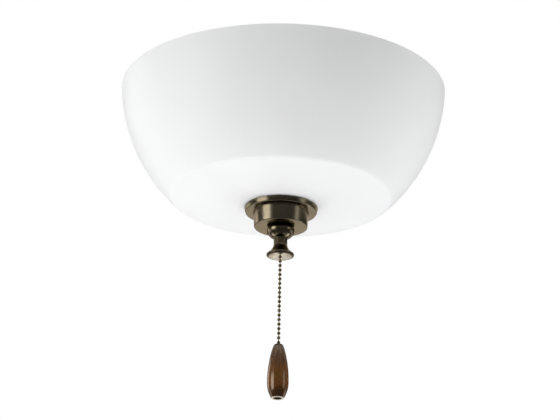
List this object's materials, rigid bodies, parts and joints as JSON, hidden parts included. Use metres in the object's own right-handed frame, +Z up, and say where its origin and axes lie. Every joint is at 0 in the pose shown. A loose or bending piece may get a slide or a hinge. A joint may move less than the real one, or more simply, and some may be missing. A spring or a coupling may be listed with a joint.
{
  "type": "ceiling fan light kit",
  "caption": "Fan light kit: fitter pan, tilted lamp sockets, open frosted glass bowl held by a stepped cap and flared finial, ball pull chain with a wooden teardrop fob.",
  "frame": {"origin": "centre of the fitter pan's top face, where the kit meets the fan", "axes": "+Z up along the rod, towards the fan; -Y faces the viewer"},
  "size_m": [0.305, 0.305, 0.3446],
  "materials": {
    "bronze": "dark bronze over spun steel, satin",
    "opal_glass": "white frosted glass, soft sheen",
    "zinc_steel": "zinc plated",
    "brass": "bright brass",
    "chain_brass": "antique brass",
    "rubber": "matte black",
    "phenolic": "black moulded phenolic",
    "ceramic": "glazed white",
    "lamp_glass": "frosted white",
    "lamp_metal": "drawn aluminium",
    "lead_jacket": "white vinyl",
    "connector_plastic": "orange moulded plastic",
    "walnut": "dark walnut stain, clear lacquer"
  },
  "bodies": {
    "fixture": {"fitter_pan": "bronze", "top_nipple": "zinc_steel", "top_locknut": "zinc_steel", "cover_plate": "bronze", "plate_screw_1": "zinc_steel", "plate_screw_2": "zinc_steel", "pull_switch": "phenolic", "switch_nut": "zinc_steel", "socket_hub": "bronze", "hub_screw_1": "zinc_steel", "hub_screw_2": "zinc_steel", "hub_screw_3": "zinc_steel", "arm_nipple_1": "zinc_steel", "arm_nipple_2": "zinc_steel", "arm_nipple_3": "zinc_steel", "arm_nut_1": "zinc_steel", "arm_nut_2": "zinc_steel", "arm_nut_3": "zinc_steel", "socket_body_1": "phenolic", "socket_body_2": "phenolic", "socket_body_3": "phenolic", "socket_insulator_1": "ceramic", "socket_insulator_2": "ceramic", "socket_insulator_3": "ceramic", "socket_shell_1": "brass", "socket_shell_2": "brass", "socket_shell_3": "brass", "socket_contact_1": "brass", "socket_contact_2": "brass", "socket_contact_3": "brass", "lamp_base_1": "lamp_metal", "lamp_base_2": "lamp_metal", "lamp_base_3": "lamp_metal", "lamp_glass_1": "lamp_glass", "lamp_glass_2": "lamp_glass", "lamp_glass_3": "lamp_glass", "lead_1": "lead_jacket", "lead_2": "lead_jacket", "lead_3": "lead_jacket", "wire_connector_1": "connector_plastic", "wire_connector_2": "connector_plastic", "wire_connector_3": "connector_plastic", "center_rod": "zinc_steel", "rod_nut_upper": "zinc_steel", "rod_nut_lower": "zinc_steel", "stop_nut": "zinc_steel", "steel_washer": "zinc_steel", "gasket_upper": "rubber"},
    "bowl_set": {"glass_bowl": "opal_glass", "gasket_lower": "rubber", "bowl_cap": "bronze"},
    "finial": {"finial": "bronze"},
    "pull": {"switch_chain": "chain_brass"},
    "chain_a": {"chain_stretch_1": "chain_brass"},
    "chain_b": {"chain_stretch_2": "chain_brass"},
    "chain_c": {"chain_stretch_3": "chain_brass"},
    "chain_d": {"chain_stretch_4": "chain_brass", "chain_stop": "brass"},
    "fob": {"pull_fob": "walnut"}
  },
  "joints": [
    {"name": "bowl_drop", "type": "slide", "parent": "fixture", "child": "bowl_set", "axis": [0, 0, 1], "range_m": [-0.0047, 0]},
    {"name": "finial_turn", "type": "hinge", "parent": "bowl_set", "child": "finial", "pos_m": [0, 0, -0.1711], "axis": [0, 0, 1], "range_deg": [-1800, 0]},
    {"name": "chain_pull", "type": "slide", "parent": "fixture", "child": "pull", "axis": [0, 0, -1], "range_m": [0, 0.009], "stiffness_N_per_m": 400, "springref_m": -0.003},
    {"name": "swing_1", "type": "hinge", "parent": "pull", "child": "chain_a", "pos_m": [0, 0, -0.21031], "axis": [1, 0, 0], "range_deg": [-30, 30]},
    {"name": "swing_2", "type": "hinge", "parent": "chain_a", "child": "chain_b", "pos_m": [0, 0, -0.2278], "axis": [0, 1, 0], "range_deg": [-30, 30]},
    {"name": "swing_3", "type": "hinge", "parent": "chain_b", "child": "chain_c", "pos_m": [0, 0, -0.24529], "axis": [1, 0, 0], "range_deg": [-30, 30]},
    {"name": "swing_4", "type": "hinge", "parent": "chain_c", "child": "chain_d", "pos_m": [0, 0, -0.26278], "axis": [0, 1, 0], "range_deg": [-30, 30]},
    {"name": "fob_spin", "type": "hinge", "parent": "chain_d", "child": "fob", "pos_m": [0, 0, -0.28466], "axis": [0, 0, 1], "continuous": true}
  ],
  "couplings": [
    {"joint": "finial_turn", "follows": "bowl_drop", "rad_per_m": 6679.3}
  ]
}
